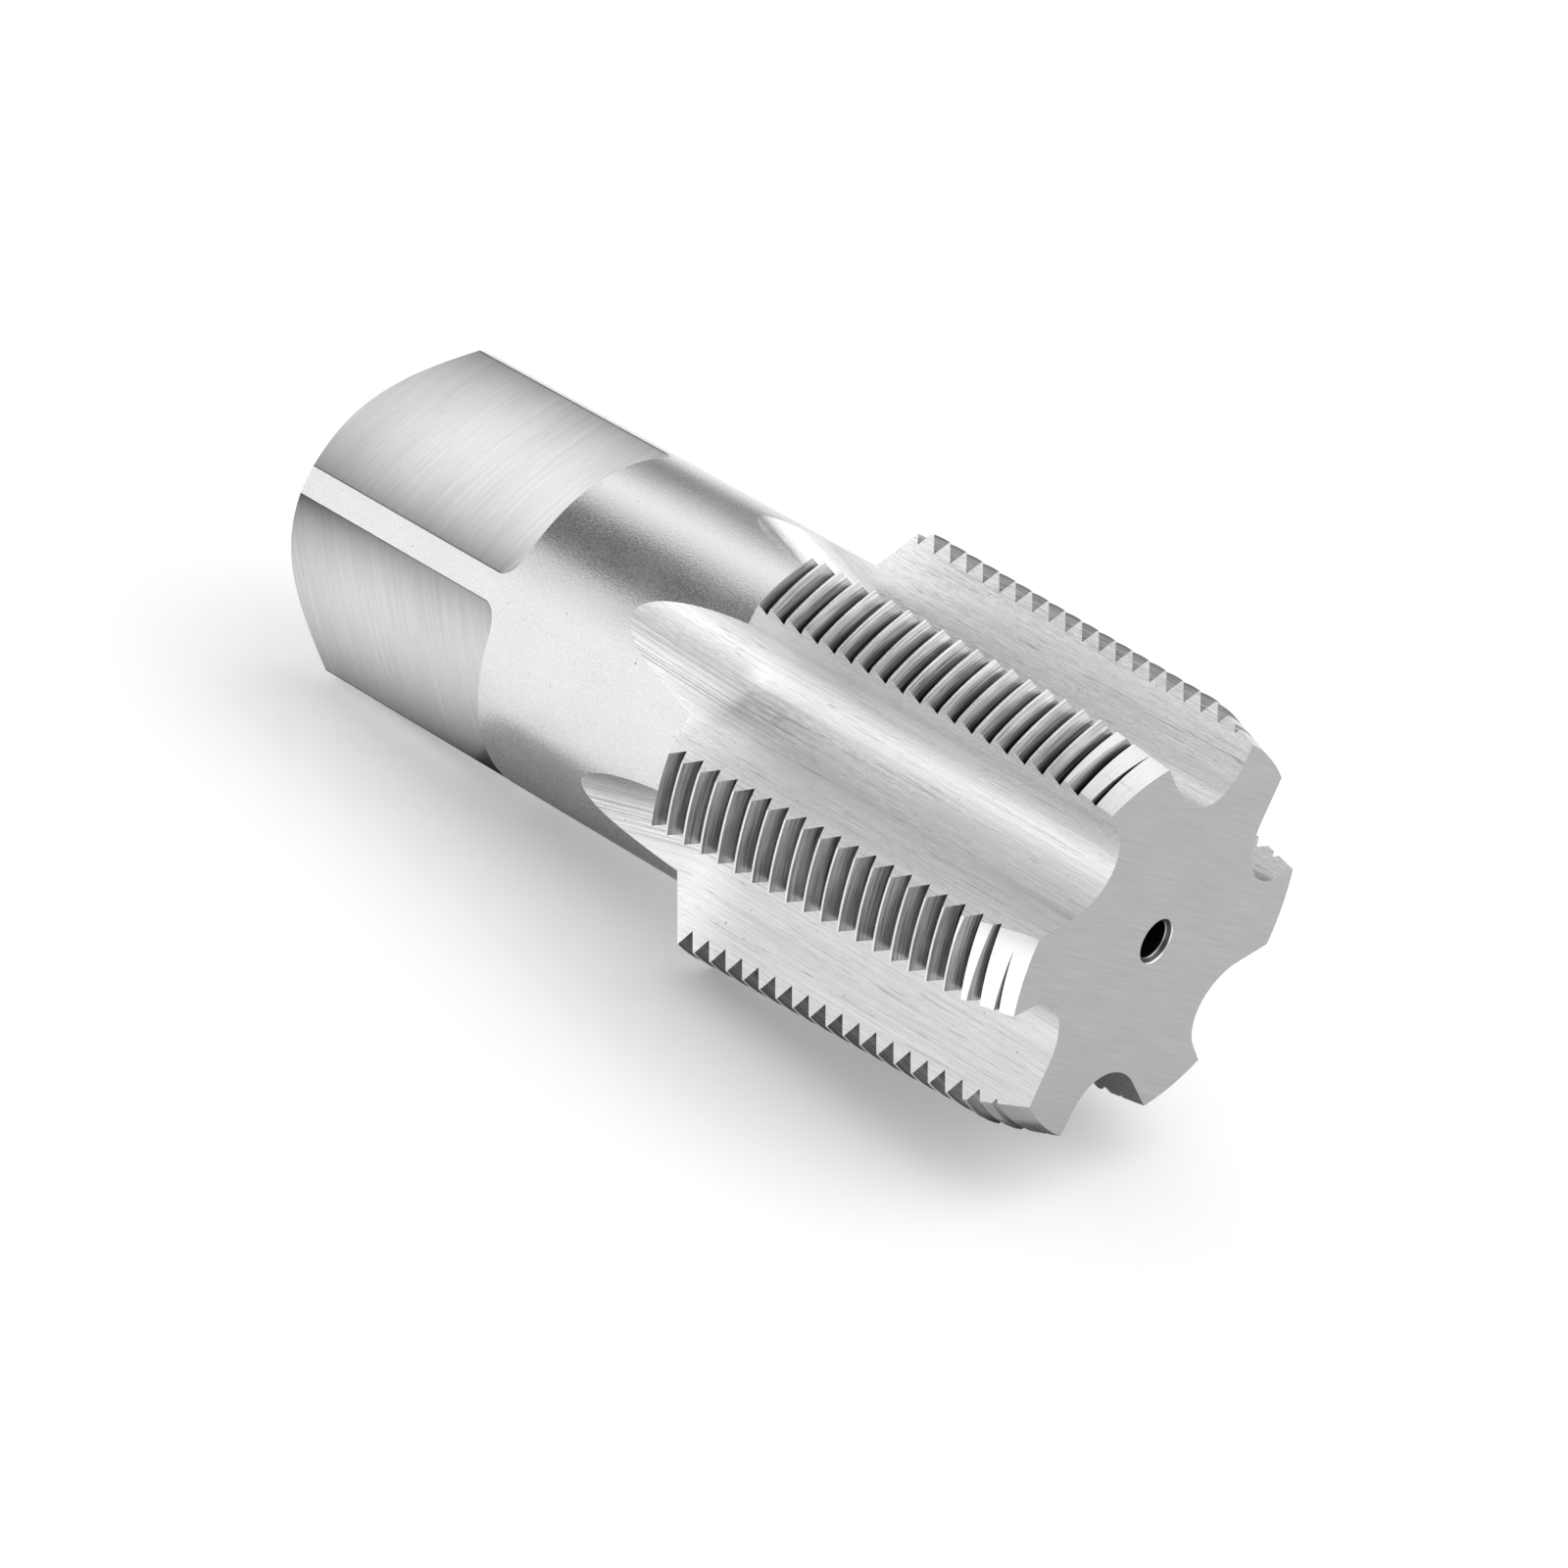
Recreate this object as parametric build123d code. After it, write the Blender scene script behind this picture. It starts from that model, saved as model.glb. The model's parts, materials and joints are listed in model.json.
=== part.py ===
from build123d import *
import os
from math import acos, asin, atan, ceil, cos, degrees, floor, pi, radians, sin, sqrt, tan

# Taper pipe tap, ground from one bar of high-speed steel
# It is made along X, from its shank end at 0 to its cutting end, and laid down last.
# Angles run round the axis from straight up, counter-clockwise as seen from the cutting end.

# Bar and shank
tap_length = 107.95
shank_diameter = 37.5
shank_end_diameter = 22.6
shank_end_cone_length = 5.2

# Drive square
square_sides = 4
square_across_flats = 28.58
square_length = 34.0
square_foot_radius = 2.0
square_turn = -15.5

# Inch pipe thread, tapered 1 in 16 on its diameter
threads_per_inch = 11.5
thread_length = 44.45
taper_on_diameter = 1 / 16
front_root_diameter = 42.61
flank_angle = 30.0
grinding_allowance = 0.01
first_root_from_front = 2.035
shoulder_angle = 30.0

# Cutting chamfer, which falls away behind each cutting edge
chamfer_front_diameter = 41.94
chamfer_angle = 18.5
chamfer_relief = 1.5

# Lands and flutes
land_count = 6
core_diameter = 28.6
flute_root_radius = 4.8
flute_heel_radius = 6.7
flute_heel_turn = 41.0
flute_behind_thread = 0.9
run_out_slope = 0.35
run_out_blend = 1.5
run_out_sections = 6
run_out_crowding = 1.3

# Centre holes that the tap is ground between
centre_angle = 30.0
drill_tip_angle = 59.0
front_centre_mouth = 4.87
front_centre_drill = 4.1
front_centre_depth = 9.0
shank_centre_mouth = 9.5
shank_centre_drill = 4.0
shank_centre_depth = 11.0

# How far the cutting shapes run past the metal
overrun = 1.0
side_overrun = 0.3
sector_margin = 4.0

# Flute that faces down when the tap lies at rest, counted from the first land's cutting face
resting_flute = 2

inch = 25.4
pitch = inch / threads_per_inch
tooth_depth = pitch / (2 * tan(radians(flank_angle)))
taper_per_length = taper_on_diameter / 2
shank_radius = shank_diameter / 2
core_radius = core_diameter / 2
flat_height = square_across_flats / 2
thread_back = tap_length - thread_length
land_spacing = 360 / land_count
flat_spacing = 360 / square_sides


def root_radius(x):
    return front_root_diameter / 2 + (tap_length - x) * taper_per_length


# Radius that the thread is ground from, which leaves its teeth sharp
def blank_radius(x):
    return root_radius(x) + tooth_depth + grinding_allowance


largest_radius = blank_radius(thread_back)
shoulder_base = thread_back - (largest_radius - shank_radius) * tan(radians(shoulder_angle))
clear_radius = largest_radius / cos(radians(land_spacing / 2)) + overrun


# Shapes turned about the tap's axis, from points of distance along it and radius
def turned(points, first_angle=0, last_angle=360):
    outline = Polyline([(x, 0, radius) for x, radius in points], close=True)
    start = make_face(outline).rotate(Axis.X, first_angle)
    return revolve(start, Axis.X, last_angle - first_angle)


# Bar as it leaves the lathe, with the thread's taper on it
def turned_blank():
    return turned([
        (0, 0),
        (0, shank_end_diameter / 2),
        (shank_end_cone_length, shank_radius),
        (shoulder_base, shank_radius),
        (thread_back, largest_radius),
        (tap_length, blank_radius(tap_length)),
        (tap_length, 0),
    ])


# Flute section: a straight cutting face on the upright line, a small root arc,
# and a wider arc that rises to the straight wall behind the next land.
# Its lowest point is turned from the cutting face by the bottom angle.
flute_bottom_angle = degrees(asin(flute_root_radius / (core_radius + flute_root_radius)))
heel_lean = flute_heel_turn - flute_bottom_angle


def flute_section():
    face_foot = (0, (core_radius + flute_root_radius) * cos(radians(flute_bottom_angle)))
    root = JernArc(face_foot, (0, -1), flute_root_radius, flute_bottom_angle - 90)
    heel = JernArc(root @ 1, root % 1, flute_heel_radius, -flute_heel_turn)
    wall_foot, wall_way = heel @ 1, heel % 1
    along = wall_foot.dot(wall_way)
    wall_length = sqrt(along ** 2 + clear_radius ** 2 - wall_foot.length ** 2) - along
    wall_top = wall_foot + wall_way * wall_length
    wall = Line(wall_foot, wall_top)
    lid = Line(wall_top, (0, clear_radius))
    face = Line((0, clear_radius), face_foot)
    return make_face([root, heel, wall, lid, face])


def heel_angle(radius):
    # Angle from a cutting face, across its flute, to the heel wall at this radius
    centre = core_radius + flute_heel_radius
    wall_offset = centre * cos(radians(flute_bottom_angle + heel_lean)) - flute_heel_radius
    return degrees(acos(wall_offset / radius)) - heel_lean


# Rise of the flute's bottom at a distance back from where it leaves its full depth
def run_out_rise(distance):
    return run_out_slope * (sqrt(distance ** 2 + run_out_blend ** 2) - run_out_blend)


# One flute: straight along the thread, then rising out of the shank behind it.
# Its sections crowd together where the rise begins.
def flute_cutter():
    bottom = radians(flute_bottom_angle)
    run_out_start = thread_back - flute_behind_thread
    clear_rise = shank_radius - core_radius + overrun / 2
    run_out_length = sqrt((clear_rise / run_out_slope + run_out_blend) ** 2 - run_out_blend ** 2)
    sections = []
    for number in range(run_out_sections):
        distance = run_out_length * (number / (run_out_sections - 1)) ** run_out_crowding
        rise = run_out_rise(distance)
        foot = (run_out_start - distance, -rise * sin(bottom), rise * cos(bottom))
        sections.append(Plane(foot, x_dir=(0, 1, 0), z_dir=(1, 0, 0)) * flute_section())
    straight = extrude(sections[0], tap_length - run_out_start + overrun, dir=(1, 0, 0))
    return straight + loft(sections)


# Width and middle of a land at its cutting edge's height
land_width_angle = land_spacing - heel_angle(root_radius(tap_length))
land_middle = -land_width_angle / 2
sector_half = land_spacing / 2 - sector_margin


# Thread grooves of one land: a comb of vees, tilted by the thread's lead angle.
# The last vee is the one whose root still clears the shoulder.
def thread_comb(advance):
    shoulder_depth = largest_radius - root_radius(thread_back)
    last_root = thread_back - shoulder_depth * tan(radians(shoulder_angle))
    first_root = tap_length - first_root_from_front + advance
    first_root += pitch * ceil((tap_length - first_root) / pitch + 0.5)
    groove_count = floor((first_root - last_root) / pitch) + 1
    points = [(first_root + pitch / 2, clear_radius)]
    points.append((first_root + pitch / 2, root_radius(first_root) + tooth_depth))
    for number in range(groove_count):
        x = first_root - number * pitch
        points.append((x, root_radius(x)))
        points.append((x - pitch / 2, root_radius(x) + tooth_depth))
    points.append((points[-1][0], clear_radius))
    comb = turned(points, -sector_half, sector_half)
    lead_angle = degrees(atan(pitch / (2 * pi * root_radius(thread_back))))
    thread_middle = (tap_length + thread_back) / 2
    return comb.rotate(Axis((thread_middle, 0, 0), (0, 0, 1)), lead_angle)


# Cone that thins the first teeth of one land, set off centre to relieve them
def chamfer_cone():
    slope = tan(radians(chamfer_angle))
    front = tap_length + overrun
    front_radius = chamfer_front_diameter / 2 - overrun * slope
    back = front - (clear_radius - front_radius) / slope
    points = [(front, front_radius), (back, clear_radius), (front, clear_radius)]
    return turned(points, -sector_half, sector_half).translate((0, -chamfer_relief, 0))


# Grooves and chamfer of every land, set along the axis so that they share one right-hand thread
def land_cutters():
    cutters = []
    for number in range(land_count):
        angle = land_middle - number * land_spacing
        cutters.append(thread_comb(pitch * angle / 360).rotate(Axis.X, angle))
        cutters.append(chamfer_cone().rotate(Axis.X, angle))
    return cutters


# Flat of the drive square, which curves up to its end wall as the cutter's round corner leaves it
def flat_cutter():
    half_width = sqrt(shank_radius ** 2 - flat_height ** 2) + side_overrun
    flat = Line((-overrun, flat_height), (square_length - square_foot_radius, flat_height))
    foot = JernArc(flat @ 1, (1, 0), square_foot_radius, 90)
    wall = Line(foot @ 1, (square_length, clear_radius))
    lid = Line(wall @ 1, (-overrun, clear_radius))
    back = Line(lid @ 1, flat @ 0)
    return extrude(Plane.XZ * make_face([flat, foot, wall, lid, back]), half_width, both=True)


# Centre hole along +X from 0: cone, drilled pilot and drill tip
def centre_hole(mouth, drill, depth):
    cone_length = (mouth - drill) / 2 / tan(radians(centre_angle))
    mouth_past = mouth / 2 + overrun * tan(radians(centre_angle))
    tip_length = drill / 2 / tan(radians(drill_tip_angle))
    return turned([
        (-overrun, 0),
        (-overrun, mouth_past),
        (cone_length, drill / 2),
        (depth - tip_length, drill / 2),
        (depth, 0),
    ])


def make_tap():
    tap = turned_blank()
    flute, flat = flute_cutter(), flat_cutter()
    tap -= [flute.rotate(Axis.X, number * land_spacing) for number in range(land_count)]
    for cutter in land_cutters():
        tap -= cutter
    for number in range(square_sides):
        tap -= flat.rotate(Axis.X, square_turn + number * flat_spacing)
    tap -= centre_hole(shank_centre_mouth, shank_centre_drill, shank_centre_depth)
    front_hole = centre_hole(front_centre_mouth, front_centre_drill, front_centre_depth)
    tap -= front_hole.rotate(Axis.Z, 180).translate((tap_length, 0, 0))
    return tap


# Height of the axis over the ground where the square's corners touch it
def square_height(down_angle):
    flat_half = degrees(acos(flat_height / shank_radius))
    from_flat = (down_angle - square_turn + flat_spacing / 2) % flat_spacing - flat_spacing / 2
    return shank_radius * cos(radians(max(flat_half - abs(from_flat), 0)))


# Tap at rest on the backs of two lands and one corner of its square, with its nose up
def laid_down(tap):
    half_gap = heel_angle(largest_radius) / 2
    down_angle = half_gap + resting_flute * land_spacing
    land_height = largest_radius * cos(radians(half_gap))
    rise = land_height - square_height(down_angle)
    tilt = degrees(atan(rise / (thread_back - shank_end_cone_length)))
    tap = tap.rotate(Axis.X, 180 - down_angle).rotate(Axis.Y, -tilt)
    box = tap.bounding_box()
    return tap.translate((-box.center().X, -box.center().Y, -box.min.Z))


os.makedirs("parts", exist_ok=True)
export_step(laid_down(make_tap()), "parts/pipe_tap.step")
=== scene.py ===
import json
from math import acos, asin, ceil, cos, degrees, pi, radians, sin, sqrt, tan

import bpy
import bmesh
import numpy as np
from mathutils import Matrix, Vector


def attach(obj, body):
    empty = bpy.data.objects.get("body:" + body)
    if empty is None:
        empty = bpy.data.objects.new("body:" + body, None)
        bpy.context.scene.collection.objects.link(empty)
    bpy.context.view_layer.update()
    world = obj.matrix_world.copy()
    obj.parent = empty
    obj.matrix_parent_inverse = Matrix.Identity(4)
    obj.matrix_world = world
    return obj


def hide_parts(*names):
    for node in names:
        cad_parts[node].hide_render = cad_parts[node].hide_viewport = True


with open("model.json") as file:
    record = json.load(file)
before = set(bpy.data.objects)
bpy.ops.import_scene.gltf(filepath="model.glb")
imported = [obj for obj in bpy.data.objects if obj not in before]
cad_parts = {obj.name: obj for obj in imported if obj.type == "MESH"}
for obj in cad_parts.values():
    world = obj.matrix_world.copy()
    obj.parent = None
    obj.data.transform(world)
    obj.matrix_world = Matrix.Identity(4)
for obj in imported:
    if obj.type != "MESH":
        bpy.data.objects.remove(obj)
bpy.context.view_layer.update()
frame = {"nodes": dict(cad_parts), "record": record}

# The frame's mounts, by name
mounts = {mount["name"]: mount for mount in frame["record"]["mounts"]}
print("frame loaded:", sorted(frame["nodes"]))

scene = bpy.context.scene
scene.view_settings.view_transform = "Standard"


def grey(shade):
    return (shade, shade, shade, 1)


def addObject(name, data):
    thing = bpy.data.objects.new(name, data)
    scene.collection.objects.link(thing)
    return thing


# Shader and geometry graphs
# One wire is a node's output. Sums of wires and numbers add Math nodes.
class Wire:
    def __init__(self, graph, socket):
        self.graph = graph
        self.socket = socket

    def math(self, operation, *others, first=None):
        values = (self if first is None else first, *others)
        return self.graph.add("ShaderNodeMath", {"operation": operation}, dict(enumerate(values)))

    def __add__(self, other):
        return self.math("ADD", other)

    def __sub__(self, other):
        return self.math("SUBTRACT", other)

    def __mul__(self, other):
        return self.math("MULTIPLY", other)

    def __truediv__(self, other):
        return self.math("DIVIDE", other)

    def __pow__(self, other):
        return self.math("POWER", other)

    def __mod__(self, other):
        return self.math("FLOORED_MODULO", other)

    def __neg__(self):
        return self.math("MULTIPLY", -1.0)

    def __gt__(self, other):
        return self.math("GREATER_THAN", other)

    def __lt__(self, other):
        return self.math("LESS_THAN", other)

    def __rsub__(self, other):
        return self.math("SUBTRACT", self, first=other)

    def __rtruediv__(self, other):
        return self.math("DIVIDE", self, first=other)

    __radd__ = __add__
    __rmul__ = __mul__


class Graph:
    def __init__(self, tree):
        self.tree = tree

    # Adds one node: its settings first, then a value or a wire for each socket, by name or number
    def add(self, kind, settings=None, sockets=None, out=0):
        node = self.tree.nodes.new(kind)
        for name, value in (settings or {}).items():
            if name == "stops":
                while len(node.color_ramp.elements) < len(value):
                    node.color_ramp.elements.new(0.5)
                for element, (place, shade) in zip(node.color_ramp.elements, value):
                    element.position = place
                    element.color = grey(shade)
            else:
                setattr(node, name, value)
        for name, value in (sockets or {}).items():
            if isinstance(value, Wire):
                self.tree.links.new(value.socket, node.inputs[name])
            else:
                node.inputs[name].default_value = value
        return Wire(self, node.outputs[out])

    def output(self, kind, name, wire):
        self.tree.links.new(wire.socket, self.tree.nodes.new(kind).inputs[name])

    def parts(self, vector):
        split = self.add("ShaderNodeSeparateXYZ", {}, {0: vector}).socket.node
        return [Wire(self, output) for output in split.outputs]

    def vector(self, x, y, z):
        return self.add("ShaderNodeCombineXYZ", {}, {0: x, 1: y, 2: z})

    # Goes from the first colour to the second as the amount goes from 0 to 1
    def blend(self, amount, first, second):
        return self.add("ShaderNodeMix", {"data_type": "RGBA"}, {0: amount, 6: first, 7: second}, out=2)


# The graph of a material or a world, with its first nodes taken out
def emptyGraph(owner):
    owner.use_nodes = True
    owner.node_tree.nodes.clear()
    return Graph(owner.node_tree)


# Sizes of the tap in millimetres, along X from its shank end, as in the frame
tap = {
    "length": 107.95,
    "shankRadius": 18.75,
    "shankEndRadius": 11.3,
    "endConeLength": 5.2,
    "squareSides": 4,
    "flatHeight": 14.29,
    "squareLength": 34.0,
    "squareFootRadius": 2.0,
    "squareTurn": -15.5,
    "shankMountAt": 41.0,
}
thread = {
    "pitch": 25.4 / 11.5,
    "length": 44.45,
    "taper": 1 / 32,
    "frontRootRadius": 21.305,
    "flankAngle": 30.0,
    "crestFlat": 0.15,
    "rootFlat": 0.03,
    "firstRootFromFront": 2.035,
    "grooves": 23,  # on each land, and those that miss it are left out
    "groovesAhead": 2.0,
    "shoulderAngle": 30.0,
    "chamferFrontRadius": 20.97,
    "chamferAngle": 18.5,
    "chamferRelief": 1.5,
}
flute = {
    "count": 6,
    "coreRadius": 14.3,
    "rootRadius": 4.8,
    "heelRadius": 6.7,
    "heelTurn": 41.0,
    "behindThread": 0.9,
    "runOutSlope": 0.35,
    "runOutBlend": 1.5,
}
centre = {
    "coneAngle": 30.0,
    "tipAngle": 59.0,
    "frontMouth": 4.87,
    "frontDrill": 4.1,
    "frontDepth": 9.0,
    "shankMouth": 9.5,
    "shankDrill": 4.0,
    "shankDepth": 11.0,
}
# How finely the mesh is made, and how far the cutting shapes run past the metal
fine = {
    "turnSegments": 360,
    "holeSegments": 96,
    "coneStep": 1.5,
    "blankStep": 2.5,
    "fluteStep": 4.0,
    "arcStep": 3.0,
    "footStep": 5.0,
    "flatStep": 3.0,
    "runOutStations": 48,
    "sectorSteps": 44,
    "sectorHalf": 26.0,
    "past": 1.0,
    "flatPast": 0.3,
    "groovePast": 2.0,
    "mergeWithin": 1e-5,
    "poleRadius": 1e-4,
    "smoothUnder": 22.0,
}

threadBack = tap["length"] - thread["length"]
toothWidth = thread["pitch"] - thread["crestFlat"] - thread["rootFlat"]
toothDepth = toothWidth / 2 / tan(radians(thread["flankAngle"]))
landSpacing = 360 / flute["count"]
flatSpacing = 360 / tap["squareSides"]
# The flute's lowest point is turned from its cutting face by this angle
fluteBottom = asin(flute["rootRadius"] / (flute["coreRadius"] + flute["rootRadius"]))


def rootRadiusAt(x):
    return thread["frontRootRadius"] + (tap["length"] - x) * thread["taper"]


def crestRadiusAt(x):
    return rootRadiusAt(x) + toothDepth


largestRadius = crestRadiusAt(threadBack)
shoulderBase = threadBack - (largestRadius - tap["shankRadius"]) * tan(radians(thread["shoulderAngle"]))
clearRadius = largestRadius / cos(radians(landSpacing / 2)) + fine["past"]
lastRoot = threadBack - toothDepth * tan(radians(thread["shoulderAngle"]))


# Meshes of the blank and of what is cut from it
def newPiece(name, points, faces):
    mesh = bpy.data.meshes.new(name)
    mesh.from_pydata([tuple(point) for point in points], [], faces)
    mesh.validate()
    shape = bmesh.new()
    shape.from_mesh(mesh)
    bmesh.ops.remove_doubles(shape, verts=shape.verts, dist=fine["mergeWithin"])
    bmesh.ops.recalc_face_normals(shape, faces=shape.faces)
    shape.to_mesh(mesh)
    shape.free()
    return addObject(name, mesh)


# A closed solid through rings of equally many points, capped at both ends
def ringSolid(name, rings):
    rings = np.array(rings, float)
    count, around = rings.shape[:2]
    faces = []
    for i in range(count - 1):
        for j in range(around):
            k = (j + 1) % around
            faces.append((i * around + j, i * around + k, (i + 1) * around + k, (i + 1) * around + j))
    faces.append(tuple(range(around)))
    faces.append(tuple((count - 1) * around + j for j in range(around)))
    return newPiece(name, rings.reshape(-1, 3), faces)


# A solid turned about X from points of distance and radius
def turnedSolid(name, outline, segments):
    angles = [2 * pi * k / segments for k in range(segments)]
    rings = []
    for x, radius in outline:
        radius = max(radius, fine["poleRadius"])
        rings.append([(x, radius * cos(angle), radius * sin(angle)) for angle in angles])
    return ringSolid(name, rings)


# Numbers from the first to the last, both included, no further apart than the step
def spread(first, last, step):
    steps = max(int(ceil(abs(last - first) / step)), 1)
    return [first + (last - first) * k / steps for k in range(steps + 1)]


def makeBlank():
    cone, shank, end = tap["endConeLength"], tap["shankRadius"], tap["shankEndRadius"]
    outline = [(x, end + (shank - end) * x / cone) for x in spread(0, cone, fine["coneStep"])]
    outline += [(x, shank) for x in spread(cone, shoulderBase, fine["blankStep"])[1:]]
    outline.append((threadBack, largestRadius))
    outline += [(x, crestRadiusAt(x)) for x in spread(threadBack, tap["length"], fine["blankStep"])[1:]]
    return turnedSolid("blank", outline, fine["turnSegments"])


# Points on an arc in Y and Z, with its angles in degrees
def arcPoints(hub, radius, first, last):
    angles = np.radians(spread(first, last, fine["arcStep"]))
    return [hub + radius * np.array([cos(angle), -sin(angle)]) for angle in angles]


# Outline of one flute across the tap, in Y and Z, with its cutting face on Y = 0
def fluteOutline():
    root, heel, core = flute["rootRadius"], flute["heelRadius"], flute["coreRadius"]
    start = pi / 2 - fluteBottom
    end = start + radians(flute["heelTurn"])
    hub = np.array([-root, (core + root) * cos(fluteBottom)])
    points = arcPoints(hub, root, 0, 90 - degrees(fluteBottom))
    heelHub = points[-1] + (hub - points[-1]) * heel / root
    points += arcPoints(heelHub, heel, degrees(start), degrees(start) + flute["heelTurn"])[1:]
    # A straight wall goes on from the wider arc to past the metal
    foot, way = points[-1], np.array([-sin(end), -cos(end)])
    along = foot @ way
    points.append(foot + way * (sqrt(along ** 2 + clearRadius ** 2 - foot @ foot) - along))
    points.append(np.array([0, clearRadius]))
    return np.array(points)


# One flute, straight along the thread and then rising out of the shank behind it
def makeFlute():
    outline = fluteOutline()
    start = threadBack - flute["behindThread"]
    slope, blend = flute["runOutSlope"], flute["runOutBlend"]
    clearRise = tap["shankRadius"] - flute["coreRadius"] + fine["past"] / 2
    length = sqrt((clearRise / slope + blend) ** 2 - blend ** 2)
    rings = []
    for x in [tap["length"] + fine["past"]] + spread(tap["length"], start, fine["fluteStep"]):
        rings.append([(x, y, z) for y, z in outline])
    for step in range(1, fine["runOutStations"] + 1):
        distance = length * step / fine["runOutStations"]
        rise = slope * (sqrt(distance ** 2 + blend ** 2) - blend)
        back, out = -rise * sin(fluteBottom), rise * cos(fluteBottom)
        rings.append([(start - distance, y + back, z + out) for y, z in outline])
    return ringSolid("flute", rings)


# Angle from a cutting face, across its flute, to the heel wall at this radius
def heelAngleAt(radius):
    hub = flute["coreRadius"] + flute["heelRadius"]
    lean = flute["heelTurn"] - degrees(fluteBottom)
    wall = hub * cos(radians(flute["heelTurn"])) - flute["heelRadius"]
    return degrees(acos(wall / radius)) - lean


landMiddle = -(landSpacing - heelAngleAt(thread["frontRootRadius"])) / 2
landAngles = np.linspace(-fine["sectorHalf"], fine["sectorHalf"], fine["sectorSteps"])


# One thread groove over one land, along its helix, without the taper
def makeGroove():
    half, foot = thread["pitch"] / 2 - thread["crestFlat"] / 2, thread["rootFlat"] / 2
    root, clear = thread["frontRootRadius"], clearRadius + fine["groovePast"]
    crest = root + toothDepth
    section = [(foot, root), (half, crest), (half, clear), (-half, clear), (-half, crest), (-foot, root)]
    rings = []
    for angle in landAngles:
        shift = thread["pitch"] * angle / 360
        rings.append([(x + shift, -r * sin(radians(angle)), r * cos(radians(angle))) for x, r in section])
    return ringSolid("groove", rings)


# Cone that thins the first teeth of one land, off centre to relieve them behind their cutting edges
def makeChamfer():
    slope = tan(radians(thread["chamferAngle"]))
    front = tap["length"] + fine["past"]
    frontRadius = thread["chamferFrontRadius"] - fine["past"] * slope
    back = front - (clearRadius - frontRadius) / slope
    section = [(front, frontRadius), (back, clearRadius), (front, clearRadius)]
    rings = []
    for angle in np.radians(landAngles):
        rings.append([(x, -r * sin(angle) - thread["chamferRelief"], r * cos(angle)) for x, r in section])
    return ringSolid("chamfer", rings)


# Flat of the drive square, which curves up to its end wall
halfFlat = sqrt(tap["shankRadius"] ** 2 - tap["flatHeight"] ** 2)


def makeFlat():
    half = halfFlat + fine["flatPast"]
    foot, end, height = tap["squareFootRadius"], tap["squareLength"], tap["flatHeight"]
    profile = [(-fine["past"], height)]
    profile += [(end - foot + foot * sin(t), height + foot - foot * cos(t))
                for t in np.radians(spread(0, 90, fine["footStep"]))]
    profile += [(end, clearRadius), (-fine["past"], clearRadius)]
    return ringSolid("flat", [[(x, y, z) for x, z in profile] for y in spread(-half, half, fine["flatStep"])])


# Centre hole of one end: a cone, a drilled pilot and the drill's tip
def makeCentre(end, fromFront):
    mouth, drill, depth = centre[end + "Mouth"], centre[end + "Drill"], centre[end + "Depth"]
    cone = (mouth - drill) / 2 / tan(radians(centre["coneAngle"]))
    flare = mouth / 2 + fine["past"] * tan(radians(centre["coneAngle"]))
    tip = drill / 2 / tan(radians(centre["tipAngle"]))
    outline = [(-fine["past"], flare), (cone, drill / 2), (depth - tip, drill / 2), (depth, 0)]
    if fromFront:
        outline = [(tap["length"] - x, r) for x, r in outline]
    return turnedSolid(end + "Centre", outline, fine["holeSegments"])


# Camera, in the place from which the photograph was taken
camera = {
    "place": (0.33413, -0.48792, 0.31497),
    "turn": (61.716, -16.153, 42.454),
    "lens": 150.05,
    "sensor": 36,
    "shift": (0.00814, 0.0121),
    "nearest": 0.01,
}


def addCamera():
    data = bpy.data.cameras.new("camera")
    data.sensor_width = camera["sensor"]
    data.lens = camera["lens"]
    data.shift_x, data.shift_y = camera["shift"]
    data.clip_start = camera["nearest"]
    eye = addObject("camera", data)
    eye.location = camera["place"]
    eye.rotation_euler = [radians(angle) for angle in camera["turn"]]
    scene.camera = eye


addCamera()
print("camera set")


# The tap, cut by a geometry tree. Each cut face keeps the number of its finish.
finishes = {"turned": 0, "flute": 1, "thread": 2, "chamfer": 3, "flat": 4, "hole": 5, "face": 6}
endFaceTurn = 0.95  # how nearly a face looks along the tap before it is finished as an end face


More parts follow.
